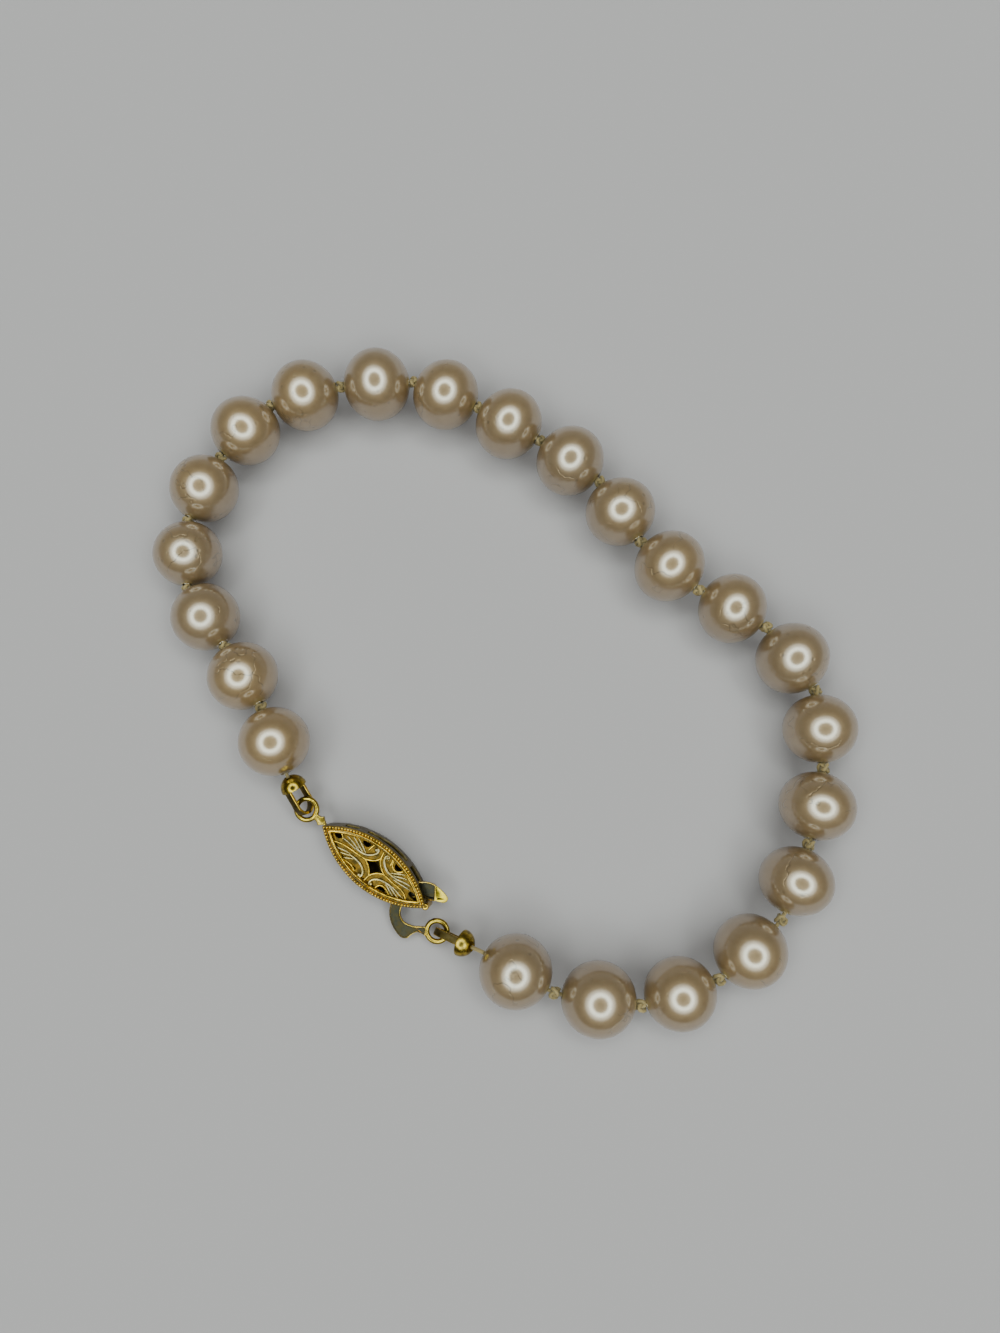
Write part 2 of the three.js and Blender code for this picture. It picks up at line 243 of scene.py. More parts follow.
def copy_of(piece, name):
    twin = piece.copy()
    twin.data = piece.data.copy()
    twin.name = name
    twin.data.name = name
    bpy.context.scene.collection.objects.link(twin)
    return twin


def apply_place(piece, place):
    choose(piece)
    piece.matrix_world = place
    bpy.ops.object.transform_apply(location=True, rotation=True, scale=True)
    return piece


def face_out(piece):
    pick_all(piece)
    bpy.ops.mesh.normals_make_consistent(inside=False)
    object_mode()


def hand_over(piece, finish, slot, *nodes):
    """The last step: millimetres to metres, material, a parent, and hiding the measured parts that the piece
    stands in for.
    """
    apply_place(piece, Matrix.Scale(MM, 4))
    if finish:
        piece.data.materials.clear()
        piece.data.materials.append(finish)
    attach(piece, "root")
    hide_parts(*nodes)
    triangles = sum(len(f.vertices) - 2 for f in piece.data.polygons)
    print(piece.name, "triangles:", triangles)
    return piece


# %% Helpers for materials
class Finish:
    """A material under construction, with short ways to add and join nodes."""

    def __init__(self, name):
        self.material = bpy.data.materials.new(name)
        self.material.use_nodes = True
        self.nodes = self.material.node_tree.nodes
        self.links = self.material.node_tree.links
        self.shader = self.nodes["Principled BSDF"]
        self.where = self.nodes.new("ShaderNodeTexCoord")

    def fixed(self, **values):
        for socket, value in values.items():
            self.shader.inputs[socket.replace("_", " ")].default_value = value

    def node(self, kind, inputs=(), **settings):
        node = self.nodes.new("ShaderNode" + kind)
        for key, value in settings.items():
            setattr(node, key, value)
        for socket, value in dict(inputs).items():
            if isinstance(value, bpy.types.NodeSocket):
                self.links.new(value, node.inputs[socket])
            else:
                node.inputs[socket].default_value = value
        return node

    def noise(self, scale, detail=2.0, roughness=0.5):
        inputs = {
            "Vector": self.where.outputs["Object"],
            "Scale": scale,
            "Detail": detail,
            "Roughness": roughness,
        }
        return self.node("TexNoise", inputs).outputs["Fac"]

    def span(self, value, low, high, to_low=0.0, to_high=1.0):
        inputs = {
            "Value": value,
            "From Min": low,
            "From Max": high,
            "To Min": to_low,
            "To Max": to_high,
        }
        return self.node("MapRange", inputs).outputs["Result"]

    def mix(self, share, low, high):
        node = self.node("Mix", data_type="RGBA")
        for socket, value in ((0, share), (6, low), (7, high)):
            if isinstance(value, bpy.types.NodeSocket):
                self.links.new(value, node.inputs[socket])
            elif socket == 0:
                node.inputs[socket].default_value = value
            else:
                node.inputs[socket].default_value = (*value, 1)
        return node.outputs[2]

    def math(self, operation, first, second=0.0):
        inputs = {0: first, 1: second}
        return self.node("Math", inputs, operation=operation).outputs["Value"]

    def bump(self, height, distance, strength=1.0):
        inputs = {"Height": height, "Distance": distance, "Strength": strength}
        return self.node("Bump", inputs).outputs["Normal"]

    def feed(self, **sockets):
        for socket, value in sockets.items():
            self.links.new(value, self.shader.inputs[socket.replace("_", " ")])
        return self.material


# %% [markdown]
# ## Nacre
#
# Nacre is thin clear plates over a bead, so it has a warm body colour that wanders a little from
# pink to straw, a deep soft shine under a sharper one, and fine pits and growth lines, whose
# colour is also darkened as painted shade. The body is a slightly metallic base, because stacked
# plates send back more light than glass does, under a clear coat. Round each drill hole the skin
# is thinner and yellower, and the yellow there is partly a painted reflection of the golden silk:
# the ball's own map says how near the hole is. Many thin clear shells one inside another would be
# nearer to the real thing, but slow to render and noisy.

# %% Nacre finish
def make_nacre():
    finish = Finish("nacre_finish")
    finish.fixed(
        Metallic=0.52,
        IOR=1.6,
        Coat_Weight=1.0,
        Coat_Roughness=0.14,
        Coat_IOR=2.2,
        Subsurface_Weight=0.12,
        Subsurface_Scale=0.0006,
        Subsurface_Radius=(1.0, 0.6, 0.4),
    )
    drift = finish.span(finish.noise(70, 1.0), 0.35, 0.65)
    body = finish.mix(drift, (0.30, 0.195, 0.092), (0.255, 0.172, 0.094))
    mottle = finish.span(finish.noise(900, 4.0, 0.6), 0.45, 0.75)
    body = finish.mix(finish.math("MULTIPLY", mottle, 0.35), body, (0.21, 0.13, 0.06))

    # Yellower round each drill hole: partly the skin's own tone, partly a painted reflection of the golden
    # silk.
    height = finish.node("SeparateXYZ", {0: finish.where.outputs["UV"]}).outputs["Y"]
    from_middle = finish.math("ABSOLUTE", finish.math("SUBTRACT", height, 0.5))
    near_hole = finish.span(from_middle, 0.36, 0.47)
    hole_tone_and_silk_reflection = finish.math("MULTIPLY", near_hole, finish.span(finish.noise(500, 3.0), 0.3, 0.6))
    body = finish.mix(finish.math("MULTIPLY", hole_tone_and_silk_reflection, 0.8), body, (0.30, 0.215, 0.04))

    shine = finish.span(finish.noise(1500, 3.0), 0.3, 0.7, 0.36, 0.44)
    waves = finish.math("MULTIPLY", finish.noise(1100, 3.0), 0.25)
    pit_cells = finish.node(
        "TexVoronoi",
        {"Vector": finish.where.outputs["Object"], "Scale": 900.0},
    ).outputs["Distance"]
    pits = finish.span(pit_cells, 0.06, 0.20)
    few = finish.span(finish.noise(160, 1.0), 0.50, 0.58)
    pit_marks = finish.math("MULTIPLY", finish.math("SUBTRACT", 1.0, pits), few)
    crease_field = finish.math("ABSOLUTE", finish.math("SUBTRACT", finish.noise(420, 2.0), 0.5))
    creases = finish.span(crease_field, 0.0, 0.016, 1.0, 0.0)
    aged = finish.span(finish.noise(230, 1.0), 0.53, 0.61)
    # Pits and creases: their bump is real relief; their darkening of the colour below is painted shade.
    dents_and_painted_shade = finish.math("MAXIMUM", pit_marks, finish.math("MULTIPLY", creases, aged))
    relief = finish.math("SUBTRACT", waves, dents_and_painted_shade)
    return finish.feed(
        Base_Color=finish.mix(finish.math("MULTIPLY", dents_and_painted_shade, 0.7), body, (0.15, 0.10, 0.05)),
        Roughness=shine,
        Normal=finish.bump(relief, 0.00005, 0.7),
    )


nacre = make_nacre()
print("nacre nodes:", len(nacre.node_tree.nodes))

# %% [markdown]
# ## Pearls
#
# A cultured pearl is nearly a ball, a little shorter along its drill hole. A ball with its poles
# on that hole can be cut open at both poles and the two rims bridged, which makes the drilled
# hole at once. It is modelled once; each copy is sized and turned to its own drill hole, then
# pushed in and out very slightly, since no two pearls are quite round.

# %% One drilled ball
BORE_RADIUS = 0.45
MOUTH_EASE = 0.018
TYPICAL_RADIUS = 3.35
MOUTH_HEIGHT = math.cos(math.asin(BORE_RADIUS / TYPICAL_RADIUS))


def on_mouth(a, b):
    """Tells whether an edge from a to b lies on one of the two cut rims."""
    return min(abs(a.z), abs(b.z)) > MOUTH_HEIGHT - 1e-4 and a.z * b.z > 0


def model_drilled_ball():
    bpy.ops.mesh.primitive_uv_sphere_add(segments=72, ring_count=44, radius=1)
    ball = named("drilled_ball")
    for side in (1, -1):
        pick_all(ball)
        bpy.ops.mesh.bisect(
            plane_co=(0, 0, side * MOUTH_HEIGHT),
            plane_no=(0, 0, side),
            clear_outer=True,
        )
        object_mode()
    pick(ball, edges=on_mouth)
    bpy.ops.mesh.bridge_edge_loops()
    object_mode()
    pick(ball, edges=on_mouth)
    bpy.ops.mesh.bevel(offset=MOUTH_EASE, segments=3)
    face_out(ball)
    return ball


drilled_ball = model_drilled_ball()
print("drilled ball faces:", len(drilled_ball.data.polygons))


# %% Read each pearl's place from the model
def read_pearl(node):
    """The drill axis is the one direction in which the model's points spread differently."""
    low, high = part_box(node)
    points = np.array([v.co for v in frame["nodes"][node].data.vertices])
    spreads, axes = np.linalg.eigh(np.cov((points - points.mean(0)).T))
    odd = 0 if spreads[1] - spreads[0] > spreads[2] - spreads[1] else 2
    axis = Vector(axes[:, odd])
    centre = (low + high) / 2
    along = (points - np.array(centre)) @ np.array(axis)
    return {
        "centre": centre / MM,
        "axis": axis,
        "across": (high.z - low.z) / MM,
        "along": float(along.max() - along.min()) / MM,
    }


pearl_nodes = sorted(node for node in frame["nodes"] if node.startswith("pearl_"))
pearls = [read_pearl(node) for node in pearl_nodes]
for i, pearl in enumerate(pearls):
    ahead = pearls[min(i + 1, len(pearls) - 1)]["centre"] - pearls[max(i - 1, 0)]["centre"]
    if pearl["axis"].dot(ahead) < 0:
        pearl["axis"].negate()
    pearl["length"] = pearl["along"] / MOUTH_HEIGHT
print("first pearl:", pearls[0])

# %% String the pearls
BOX_GAP = 0.005 * MM


def keep_inside(piece):
    """Nudges a piece that sticks out of the measured bracelet's box back into it."""
    places = np.array([v.co for v in piece.data.vertices]) * MM
    over = np.maximum(places.max(0) - np.array(cad_high) + BOX_GAP, 0)
    under = np.minimum(places.min(0) - np.array(cad_low) - BOX_GAP, 0)
    piece.data.transform(Matrix.Translation(Vector(-(over + under)) / MM))


PEARL_SHRINK = 0.994
LUMP_DEPTH = 0.035

lumps = bpy.data.textures.new("pearl_lumps", "CLOUDS")
lumps.noise_scale = 3.2
lumps.noise_depth = 1
turns = random.Random(7)

for node, pearl in zip(pearl_nodes, pearls):
    piece = copy_of(drilled_ball, node + "_nacre")
    lift = Quaternion((0, 0, 1), turns.uniform(0, 2 * math.pi))
    upright = Vector((0, 0, 1)).rotation_difference(pearl["axis"]) @ lift
    half = PEARL_SHRINK / 2
    size = Matrix.Diagonal((pearl["across"] * half, pearl["across"] * half, pearl["length"] * half, 1))
    place = Matrix.Translation(pearl["centre"]) @ upright.to_matrix().to_4x4() @ size
    apply_place(piece, place)
    finish_with(
        piece, "DISPLACE", texture=lumps, texture_coords="LOCAL", strength=LUMP_DEPTH, mid_level=0.6
    )
    bpy.ops.object.shade_smooth()
    keep_inside(piece)
    hand_over(piece, nacre, "nacre", node)
bpy.data.objects.remove(drilled_ball)

# %% [markdown]
# ## Silk
#
# The string is silk of three plies twisted together, and between each two pearls it is tied in an
# overhand knot, so that a broken string loses one pearl only. A cord swept along a path gives
# this directly: its section has three lobes and turns as it goes. An overhand knot pulled tight
# is close to a trefoil, and each one is fitted to the room between its two pearls.

# %% Silk finish
def make_silk():
    finish = Finish("silk_finish")
    finish.fixed(Sheen_Weight=0.4, Sheen_Roughness=0.4)
    soiled = finish.span(finish.noise(700, 3.0), 0.35, 0.7)
    tint = finish.mix(soiled, (0.31, 0.225, 0.095), (0.13, 0.095, 0.038))
    fibres = finish.noise(9000, 2.0)
    return finish.feed(
        Base_Color=tint,
        Roughness=finish.span(fibres, 0.3, 0.7, 0.55, 0.8),
        Normal=finish.bump(fibres, 0.00002, 0.7),
    )


silk = make_silk()
print("silk nodes:", len(silk.node_tree.nodes))

# %% Tools for cords and ridges
def path_curve(name, paths, depth=1.0, profile=None, kind="POLY"):
    """Sweeps a round section, or a profile, along each path of (place, size, turn) points."""
    object_mode()
    bpy.ops.curve.primitive_bezier_curve_add()
    cord = named(name)
    cord.data.splines.clear()
    cord.data.fill_mode = "FULL"
    cord.data.use_fill_caps = True
    if profile:
        cord.data.bevel_mode = "OBJECT"
        cord.data.bevel_object = profile
    else:
        cord.data.bevel_depth = depth
        cord.data.bevel_resolution = 3
    for path in paths:
        line = cord.data.splines.new(kind)
        line.points.add(len(path) - 1)
        for point, (place, thickness, turn_angle) in zip(line.points, path):
            point.co = (*place, 1)
            point.radius = thickness
            point.tilt = turn_angle
        if kind == "NURBS":
            line.order_u = 4
            line.use_endpoint_u = True
            line.resolution_u = 6
    choose(cord)
    bpy.ops.object.convert(target="MESH")
    cord = named(name)
    bpy.ops.object.shade_smooth()
    return cord


def three_ply_profile(radius):
    """A closed outline with three lobes, one for each ply."""
    object_mode()
    bpy.ops.curve.primitive_bezier_curve_add()
    outline = named("ply_profile")
    outline.data.dimensions = "2D"
    outline.data.splines.clear()
    line = outline.data.splines.new("POLY")
    steps = 15
    line.points.add(steps - 1)
    for k, point in enumerate(line.points):
        angle = 2 * math.pi * k / steps
        reach = radius * (0.80 + 0.20 * abs(math.cos(1.5 * angle)))
        point.co = (reach * math.cos(angle), reach * math.sin(angle), 0, 1)
    line.use_cyclic_u = True
    return outline


# %% Thread and knots
SILK_RADIUS = 0.19
KNOT_CORD = 0.18
KNOT_REACH = 0.66
PLY_PITCH = 1.1
STEP_LENGTH = 0.18
TWISTS_IN_KNOT = 5
END_KNOT_DEPTH = 0.95
END_KNOT_LIFT = 0.25


def frame_along(axis, spin):
    return Vector((0, 0, 1)).rotation_difference(axis) @ Quaternion((0, 0, 1), spin)


def trefoil_path(centre, axis, thickness, spin, steps=54):
    turn_frame = frame_along(axis, spin)
    reach = (KNOT_REACH - KNOT_CORD) / 3
    path = []
    for k in range(steps + 1):
        t = 2 * math.pi * k / steps
        flat_x = reach * (math.sin(t) + 2 * math.sin(2 * t))
        flat_y = reach * (math.cos(t) - 2 * math.cos(2 * t))
        lift = -thickness * math.sin(3 * t)
        place = centre + turn_frame @ Vector((flat_x, flat_y, lift))
        path.append((place, KNOT_CORD / SILK_RADIUS, 2 * math.pi * TWISTS_IN_KNOT * k / steps))
    return path


def straight_path(start, end, twist_from):
    steps = max(2, round((end - start).length / STEP_LENGTH))
    path = []
    for k in range(steps + 1):
        share = k / steps
        twist = twist_from + 2 * math.pi * share * (end - start).length / PLY_PITCH
        path.append((start.lerp(end, share), 1.0, twist))
    return path


mouths = []
for pearl in pearls:
    reach = pearl["axis"] * (pearl["along"] / 2)
    mouths.append((pearl["centre"] - reach, pearl["centre"] + reach))

# %% [markdown]
# ## Where the clasp lies
#
# The clasp rests tilted on its side, so its parts are modelled level, with u along the oval, v
# across it and w up, and turned into place afterwards. The flat underside that the model names
# as a mounting face gives that turn.

# %% The clasp's own directions
mount = next(m for m in frame["record"]["mounts"] if m["name"] == "clasp_underside")
W = -Vector(mount["axis"]).normalized()
U = Vector((0, 0, 1)).cross(W).normalized()
V = W.cross(U)
BOX_HALF_HEIGHT = 1.25
MOUNT_OFFSET = 0.3
CLASP_CENTRE = Vector(mount["pos_m"]) / MM + BOX_HALF_HEIGHT * W - MOUNT_OFFSET * U
clasp_place = Matrix.Translation(CLASP_CENTRE) @ Matrix((U, V, W)).transposed().to_4x4()
BOX_RING = Vector((-8.15, 0, 0))
HOOK_RING = Vector((7.9, -1.3, 0))
print("clasp centre:", CLASP_CENTRE[:], "tilt:", round(math.degrees(W.angle(Vector((0, 0, 1)))), 1))


# %% Where the bead tips lie
LOOP_END = 3.95


def tip_place(string_end, ring_centre, past_ring, roll):
    towards = (ring_centre - string_end).normalized()
    pole = ring_centre + towards * (past_ring - LOOP_END)
    side = towards.cross(Vector((0, 0, 1))).normalized()
    over = side.cross(towards)
    turn_frame = Matrix((side, towards, over)).transposed().to_4x4()
    roll_turn = Matrix.Rotation(roll, 4, "Y")
    return Matrix.Translation(pole) @ turn_frame @ roll_turn, pole, towards


place_1, pole_1, towards_1 = tip_place(
    mouths[0][0], clasp_place @ BOX_RING, 0.4, math.radians(-52)
)
place_2, pole_2, towards_2 = tip_place(
    mouths[-1][1], clasp_place @ HOOK_RING, 0.15, math.radians(90)
)
print("bottoms of the two cups:", pole_1[:], pole_2[:])

# %% String and knots
ply_profile = three_ply_profile(SILK_RADIUS)
cords = []
end_knots = (
    (pole_1 + towards_1 * END_KNOT_DEPTH, towards_1),
    (pole_2 + towards_2 * END_KNOT_DEPTH, towards_2),
)
stops_on_string = [end_knots[0][0]]
for before, after in mouths:
    stops_on_string += [before, after]
stops_on_string.append(end_knots[1][0])
twist = 0.0
for start, end in zip(stops_on_string, stops_on_string[1:]):
    cords.append(straight_path(start, end, twist))
    twist = cords[-1][-1][2]
for (_, end), (start, _) in zip(mouths, mouths[1:]):
    axis = (start - end).normalized()
    room = (start - end).length
    thickness = min(0.30, max(0.14, (room + 0.1) / 2 - KNOT_CORD))
    cords.append(trefoil_path((start + end) / 2, axis, thickness, turns.uniform(0, 2)))
for centre, axis in end_knots:
    cords.append(trefoil_path(centre, axis, END_KNOT_LIFT, turns.uniform(0, 2)))
string = path_curve("knotted_string", cords, profile=ply_profile)
bpy.data.objects.remove(ply_profile)
hand_over(string, silk, "silk", "silk_thread")

# %% [markdown]
# ## Gilt metal
#
# The clasp is thin gold plate over a base metal. It is bright where it is rubbed, brown in the
# hollows, and greyish where the gold has gone from the ridges. Wear could be painted by hand, but
# blotches of noise give it on every part at once. One recipe serves all the parts, with the share
# of wear, the depth of the brown and the plating colour changed from part to part. Some copies are
# lit and shaded copies of one gold: the darkest are painted shade on the box's sides, and on the
# plate down in the recess, whose brown is tarnish and painted shade together.

# %% Gilt finishes
GOLD = (0.64, 0.41, 0.045)
BROWN = (0.060, 0.043, 0.012)
BARE = (0.42, 0.40, 0.30)


def make_gilt(name, plating, bare_share, brown_share, roughness):
    finish = Finish(name)
    finish.fixed(Metallic=1.0)
    blotches = finish.noise(1100, 4.0, 0.6)
    rubbed = finish.span(blotches, 0.42, 0.62)
    stained = finish.span(finish.noise(2300, 3.0), 0.40, 0.66)
    tint = finish.mix(finish.math("MULTIPLY", rubbed, bare_share), plating, BARE)
    tint = finish.mix(finish.math("MULTIPLY", stained, brown_share), tint, BROWN)
    scuffs = finish.noise(5200, 3.0, 0.6)
    return finish.feed(
        Base_Color=tint,
        Roughness=finish.span(blotches, 0.3, 0.7, roughness, roughness + 0.18),
        Normal=finish.bump(scuffs, 0.00001, 0.6),
    )


bright_gilt = make_gilt("bright_gilt", GOLD, 0.12, 0.60, 0.13)
polished_gilt = make_gilt("polished_gilt", (0.38, 0.28, 0.022), 0.05, 0.10, 0.14)
cup_gilt = make_gilt("cup_gilt", (0.46, 0.32, 0.035), 0.10, 0.75, 0.14)
# A much darker copy of the gold: painted shade on the box's sides, the seat between the beads and the strip's
# broad faces.
painted_shade_gilt = make_gilt("painted_shade_gilt", (0.10, 0.070, 0.020), 0.10, 0.7, 0.30)
# A dark copy for the pierced plate down in the recess: tarnish and painted shade of the recess together.
tarnish_and_shade_gilt = make_gilt("tarnish_and_shade_gilt", (0.17, 0.095, 0.013), 0.0, 0.95, 0.35)
worn_ridge = make_gilt("worn_ridge", (0.44, 0.35, 0.14), 0.6, 0.5, 0.2)
# The hook's face: scuffed grey metal, painted near black as well, a painted dark reflection.
worn_face_and_dark_reflection = make_gilt("worn_face_and_dark_reflection", (0.028, 0.028, 0.021), 0.04, 0.5, 0.34)

# %% [markdown]
# ## Tools for sheet metal
#
# Sheet parts all start the same way: a closed outline, filled and given thickness. The outlines
# are quarter-millimetre work, so they are plotted point by point onto a ring of corners.

# %% Outlines
def oval_outline(length, width, steps=40):
    """A pointed oval of two equal arcs, its points on the u axis."""
    radius = (length * length + width * width) / (4 * width)
    drop = radius - width / 2
    reach = math.asin(length / 2 / radius)
    upper = []
    for k in range(steps):
        angle = math.pi / 2 - reach + 2 * reach * k / steps
        upper.append((radius * math.cos(angle), radius * math.sin(angle) - drop))
    return upper + [(-u, -v) for u, v in upper]


def smooth_outline(anchors, steps=4):
    """Corner points with a control point before each: (u, v) or (control u, v, u, v)."""
    points = []
    last = anchors[-1][-2:]
    for anchor in anchors:
        if len(anchor) == 2:
            points.append(anchor)
        else:
            cu, cv, eu, ev = anchor
            for k in range(1, steps + 1):
                t = k / steps
                a, b, c = (1 - t) ** 2, 2 * t * (1 - t), t * t
                points.append((a * last[0] + b * cu + c * eu, a * last[1] + b * cv + c * ev))
        last = points[-1]
    return points


def ring_of(name, outline, w=0.0):
    bpy.ops.mesh.primitive_circle_add(vertices=len(outline), radius=1)
    ring = named(name)
    for corner, (u, v) in zip(ring.data.vertices, outline):
        corner.co = (u, v, w)
    return ring


def sheet(name, outline, low, high, edge=0.0):
    """Fills an outline and gives it thickness, with its edges eased."""
    part = ring_of(name, outline, low)
    pick_all(part)
    bpy.ops.mesh.edge_face_add()
    bpy.ops.mesh.extrude_region_move(TRANSFORM_OT_translate={"value": (0, 0, high - low)})
    object_mode()
    face_out(part)
    if edge:
        finish_with(part, "BEVEL", width=edge, segments=2, limit_method="ANGLE", angle_limit=0.9)
    return part


def step_up(rise, shrink_u, shrink_v):
    """Continues a picked rim of edges upward and inward."""
    bpy.ops.mesh.extrude_region_move(TRANSFORM_OT_translate={"value": (0, 0, rise)})
    bpy.ops.transform.resize(value=(shrink_u, shrink_v, 1), center_override=(0, 0, 0))


def cut_out(part, cutters):
    for cutter in cutters:
        finish_with(part, "BOOLEAN", operation="DIFFERENCE", object=cutter)
        bpy.data.objects.remove(cutter)


def finishes_and_shade_by_facing(part, broad, narrow, is_broad):
    """Broad faces take one finish; eased edges and sides take the other, which paints faces lighter or darker
    by the way they point, as painted shade.
    """
    part.data.materials.append(broad)
    part.data.materials.append(narrow)
    sides = [int(not is_broad(face.normal)) for face in part.data.polygons]
    part.data.polygons.foreach_set("material_index", sides)


def smooth_by_angle(part, degrees=35):
    choose(part)
    bpy.ops.object.shade_smooth_by_angle(angle=math.radians(degrees))
    return part


# %% [markdown]
# ## Clasp box
#
# The real box is two stampings: a tray with a slotted side, and a pierced top whose rim is
# milled into a row of beads. Here the tray's side is one band of faces with the slots left open,
# then thickened. The rim is one outline stepped up and inward, which gives the outer wall, the
# bead seat, the polished ridge and the slope down to the filigree. A beaded rim could be one
# displaced band, but true beads keep their round shadows when seen close.

# %% Tray
BOX_LENGTH, BOX_WIDTH = 11.8, 4.45
WALL_THICKNESS = 0.38
SNAP_REACH = 0.16
WALL_LEVELS = (-BOX_HALF_HEIGHT, -0.525, -0.45, 0.45, 0.525, 0.95)
SLOT_ENDS = ((-4.4, -3.2), (-2.4, 2.0))
HOOK_SLOT_FROM = 2.6


def make_tray():
    outline = oval_outline(BOX_LENGTH, BOX_WIDTH)
    ends = [end for slot in SLOT_ENDS for end in slot] + [HOOK_SLOT_FROM]
    snapped = []
    for u, v in outline:
        nearest = min(ends, key=lambda end: abs(end - u))
        snapped.append((nearest if abs(nearest - u) < SNAP_REACH else u, v))
    wall = ring_of("clasp_tray", snapped, WALL_LEVELS[0])
    pick_all(wall)
    for low, high in zip(WALL_LEVELS, WALL_LEVELS[1:]):
        bpy.ops.mesh.extrude_region_move(TRANSFORM_OT_translate={"value": (0, 0, high - low)})
    object_mode()

    def in_slot(face):
        u, v, w = face.center
        side_slot = abs(w) < 0.45 and any(low < u < high for low, high in SLOT_ENDS)
        hook_slot = abs(w) < 0.525 and u > HOOK_SLOT_FROM
        return side_slot or hook_slot

    pick(wall, faces=in_slot)
    bpy.ops.mesh.delete(type="FACE")
    face_out(wall)
    finish_with(wall, "SOLIDIFY", thickness=WALL_THICKNESS, offset=-1)
    finish_with(wall, "BEVEL", width=0.05, segments=2, limit_method="ANGLE", angle_limit=0.9)
    base = sheet("clasp_base", oval_outline(BOX_LENGTH - 0.2, BOX_WIDTH - 0.1), -BOX_HALF_HEIGHT, -0.85, 0.08)
    return smooth_by_angle(join([wall, base], "clasp_tray"))


tray = make_tray()
print("tray faces:", len(tray.data.polygons))


# %% Milled rim
def make_rim():
    rim = ring_of("clasp_rim", oval_outline(BOX_LENGTH, BOX_WIDTH), 0.80)
    pick_all(rim)
    step_up(0.28, 1.0, 1.0)
    step_up(0.07, 0.985, 0.965)
    step_up(-0.04, 0.955, 0.915)
    step_up(0.10, 0.985, 0.965)
    step_up(0.03, 0.988, 0.975)
    step_up(0.00, 0.985, 0.955)
    step_up(-0.40, 0.940, 0.875)
    object_mode()
    face_out(rim)
    return smooth_by_angle(rim, 50)


BEAD_COUNT = 88
BEAD_RADIUS = 0.135
BEAD_LEVEL = 1.13


def make_beading():
    """A row of small beads round the rim, evenly spaced along the oval."""
    track = [Vector((*p, 0)) for p in oval_outline(BOX_LENGTH * 0.965, BOX_WIDTH * 0.935, 160)]
    track.append(track[0])
    lengths = np.cumsum([0] + [(b - a).length for a, b in zip(track, track[1:])])
    bpy.ops.mesh.primitive_ico_sphere_add(subdivisions=2, radius=BEAD_RADIUS)
    bead = named("bead")
    beads = []
    for k in range(BEAD_COUNT):
        target = lengths[-1] * k / BEAD_COUNT
        i = int(np.searchsorted(lengths, target, side="right")) - 1
        share = (target - lengths[i]) / (lengths[i + 1] - lengths[i])
        spot = track[i].lerp(track[i + 1], share)
        grain = copy_of(bead, "bead_%02d" % k)
        swell = turns.uniform(0.9, 1.05)
        grain.data.transform(Matrix.Translation(spot + Vector((0, 0, BEAD_LEVEL))) @ Matrix.Scale(swell, 4))
        beads.append(grain)
    bpy.data.objects.remove(bead)
    beading = join(beads, "clasp_beading")
    bpy.ops.object.shade_smooth()
    return beading


rim = make_rim()
beading = make_beading()
print("rim faces:", len(rim.data.polygons), "beads:", BEAD_COUNT)

# %% [markdown]
# ## Filigree
#
# The pierced plate lies below the rim. Its holes are cut with shaped cutters, as a stamp would
# cut them. On it stand ridges: a gold outline round the star-shaped hole, four scrolls that curl
# into balls, and a fan of small leaves from each. Sculpting them would take long and could not be
# measured, so the ridges are swept along drawn paths, thinner towards their ends.

# %% Pierced plate
PLATE_TOP = 0.74
PLATE_THICKNESS = 0.3
STAR_HOLE = [
    (0.95, -0.05),
    (0.40, 0.28, 0.10, 0.68),
    (-0.25, 0.25, -0.85, 0.0),
    (-0.25, -0.30, 0.10, -0.78),
    (0.40, -0.30, 0.95, -0.05),
]
ROUND_HOLES = [
    (-1.75, 1.28, 0.42, 0.40),
    (1.85, 1.30, 0.42, 0.40),
    (1.72, -1.28, 0.40, 0.30),
    (-1.60, -1.30, 0.42, 0.14),
    (-4.30, 0.22, 0.42, 0.30),
    (4.45, 0.05, 0.60, 0.26),
]


def make_plate():
    plate = sheet("clasp_plate", oval_outline(10.4, 3.66), PLATE_TOP - PLATE_THICKNESS, PLATE_TOP)
    cutters = [sheet("star_cutter", smooth_outline(STAR_HOLE), 0.2, 1.2)]
    for u, v, half_u, half_v in ROUND_HOLES:
        bpy.ops.mesh.primitive_cylinder_add(vertices=24, radius=1, depth=1, location=(u, v, 0.7))
        cutter = named("round_cutter")
        bpy.ops.transform.resize(value=(half_u, half_v, 1))
        bpy.ops.object.transform_apply(location=True, rotation=True, scale=True)
        cutters.append(cutter)
    cut_out(plate, cutters)
    finish_with(plate, "BEVEL", width=0.04, segments=2, limit_method="ANGLE", angle_limit=0.9)
    return smooth_by_angle(plate)


plate = make_plate()
print("plate faces:", len(plate.data.polygons), "holes:", 1 + len(ROUND_HOLES))

